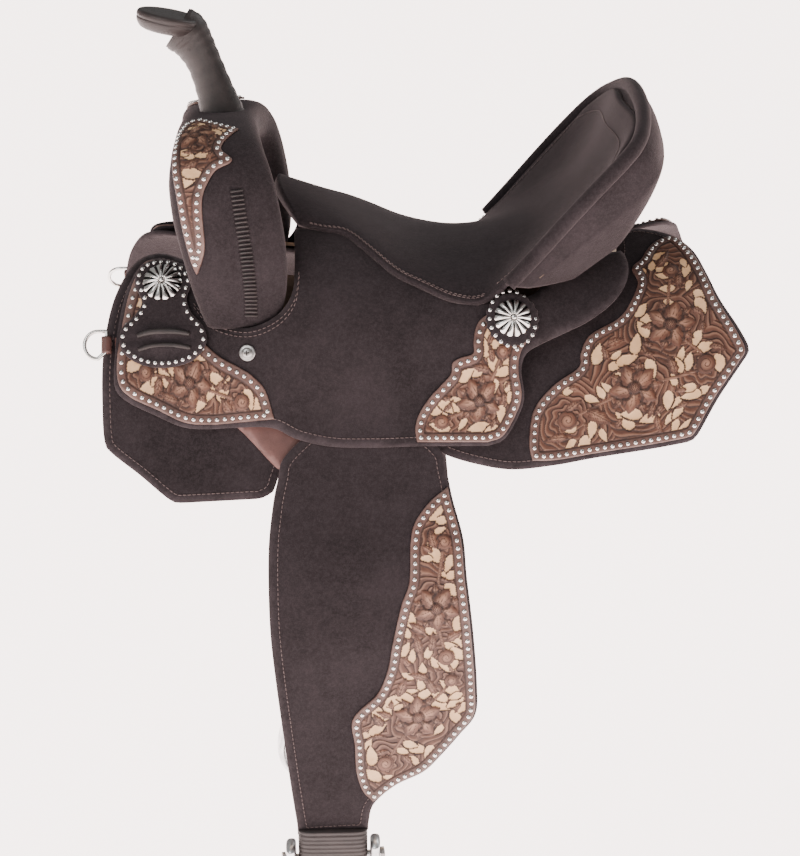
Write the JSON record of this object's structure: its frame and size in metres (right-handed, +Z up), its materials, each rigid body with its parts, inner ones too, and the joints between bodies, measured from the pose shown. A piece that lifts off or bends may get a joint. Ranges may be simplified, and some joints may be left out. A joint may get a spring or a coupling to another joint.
{
  "type": "barrel racing saddle",
  "caption": "Western barrel saddle: suede seat, tooled leather overlays, silver conchos, tall horn, high cantle, hung fenders and metal stirrups",
  "frame": {"origin": "On the middle plane, at the point where the saddle rests over a ridge below the seat", "axes": "+X to the rear, the horn at -X; -Y the near (left) side; +Z up"},
  "size_m": [0.6408, 0.4938, 0.9617],
  "materials": {
    "suede": "dark brown napped suede",
    "smooth_leather": "smooth oiled brown leather",
    "tooled_leather": "carved leather with dark antiquing on a pale ground",
    "fleece": "wool pile",
    "silver": "polished plated metal",
    "steel": "plain steel",
    "aluminium": "satin cast aluminium",
    "wood": "plain tree wood"
  },
  "bodies": {
    "tree": {"cantle_back": "suede", "cantle_binding": "suede", "cantle_board": "wood", "collar_chape_left": "smooth_leather", "collar_chape_right": "smooth_leather", "fleece_left": "fleece", "fleece_right": "fleece", "fork": "wood", "front_concho_left": "silver", "front_concho_right": "silver", "front_overlay_left": "tooled_leather", "front_overlay_right": "tooled_leather", "ground_seat": "steel", "horn_cap": "smooth_leather", "horn_core": "steel", "horn_neck": "smooth_leather", "jockey_left": "suede", "jockey_right": "suede", "jockey_screw_left": "silver", "jockey_screw_right": "silver", "latigo_keeper_left": "suede", "latigo_keeper_right": "suede", "rear_concho_left": "silver", "rear_concho_right": "silver", "rear_overlay_left": "tooled_leather", "rear_overlay_right": "tooled_leather", "rear_rosette_left": "suede", "rear_rosette_right": "suede", "rigging_leather_left": "smooth_leather", "rigging_leather_right": "smooth_leather", "seat": "suede", "skirt_left": "suede", "skirt_overlay_left": "tooled_leather", "skirt_overlay_right": "tooled_leather", "skirt_right": "suede", "swell_cover": "suede", "swell_overlay": "tooled_leather", "tree_bar_left": "wood", "tree_bar_right": "wood"},
    "fender_left": {"buckle_plate_left": "steel", "fender_left": "suede", "fender_overlay_left": "tooled_leather", "stirrup_strap_left": "smooth_leather"},
    "fender_right": {"buckle_plate_right": "steel", "fender_overlay_right": "tooled_leather", "fender_right": "suede", "stirrup_strap_right": "smooth_leather"},
    "sleeve_left": {"buckle_sleeve_left": "steel"},
    "sleeve_right": {"buckle_sleeve_right": "steel"},
    "dee_left": {"collar_dee_left": "silver"},
    "dee_right": {"collar_dee_right": "silver"},
    "stirrup_left": {"stirrup_bolt_left": "steel", "stirrup_frame_left": "aluminium"},
    "stirrup_right": {"stirrup_bolt_right": "steel", "stirrup_frame_right": "aluminium"},
    "hanger_left": {"stirrup_hanger_left": "smooth_leather"},
    "hanger_right": {"stirrup_hanger_right": "smooth_leather"},
    "neck_left": {"stirrup_neck_left": "smooth_leather"},
    "neck_right": {"stirrup_neck_right": "smooth_leather"}
  },
  "joints": [
    {"name": "fender_swing_left", "type": "hinge", "parent": "tree", "child": "hanger_left", "pos_m": [-0.08283, -0.1567, -0.05057], "axis": [0.0166, 0.9271, -0.3746], "range_deg": [-15, 15]},
    {"name": "fender_lift_left", "type": "hinge", "parent": "hanger_left", "child": "fender_left", "pos_m": [-0.08089, -0.17024, -0.07198], "axis": [-0.999, 0, -0.0442], "range_deg": [0, 75]},
    {"name": "buckle_slide_left", "type": "slide", "parent": "fender_left", "child": "sleeve_left", "axis": [0, 0, 1], "range_m": [0, 0.025]},
    {"name": "stirrup_turn_left", "type": "hinge", "parent": "fender_left", "child": "neck_left", "pos_m": [-0.11503, -0.2209, -0.48307], "axis": [0, 0, 1], "range_deg": [-90, 90]},
    {"name": "stirrup_tilt_left", "type": "hinge", "parent": "neck_left", "child": "stirrup_left", "pos_m": [-0.11503, -0.2209, -0.48307], "axis": [0.999, 0, 0.0442], "range_deg": [-40, 40]},
    {"name": "fender_swing_right", "type": "hinge", "parent": "tree", "child": "hanger_right", "pos_m": [-0.08283, 0.1567, -0.05057], "axis": [-0.0166, 0.9271, 0.3746], "range_deg": [-15, 15]},
    {"name": "fender_lift_right", "type": "hinge", "parent": "hanger_right", "child": "fender_right", "pos_m": [-0.08089, 0.17024, -0.07198], "axis": [0.999, 0, 0.0442], "range_deg": [0, 75]},
    {"name": "buckle_slide_right", "type": "slide", "parent": "fender_right", "child": "sleeve_right", "axis": [0, 0, 1], "range_m": [0, 0.025]},
    {"name": "stirrup_turn_right", "type": "hinge", "parent": "fender_right", "child": "neck_right", "pos_m": [-0.11503, 0.2209, -0.48307], "axis": [0, 0, 1], "range_deg": [-90, 90]},
    {"name": "stirrup_tilt_right", "type": "hinge", "parent": "neck_right", "child": "stirrup_right", "pos_m": [-0.11503, 0.2209, -0.48307], "axis": [0.999, 0, 0.0442], "range_deg": [-40, 40]},
    {"name": "dee_swing_left", "type": "hinge", "parent": "tree", "child": "dee_left", "pos_m": [-0.3266, -0.11927, 0.02261], "axis": [0.0695, 0.4897, 0.8691], "range_deg": [-20, 70]},
    {"name": "dee_swing_right", "type": "hinge", "parent": "tree", "child": "dee_right", "pos_m": [-0.3266, 0.11927, 0.02261], "axis": [-0.0695, 0.4897, -0.8691], "range_deg": [-20, 70]}
  ]
}
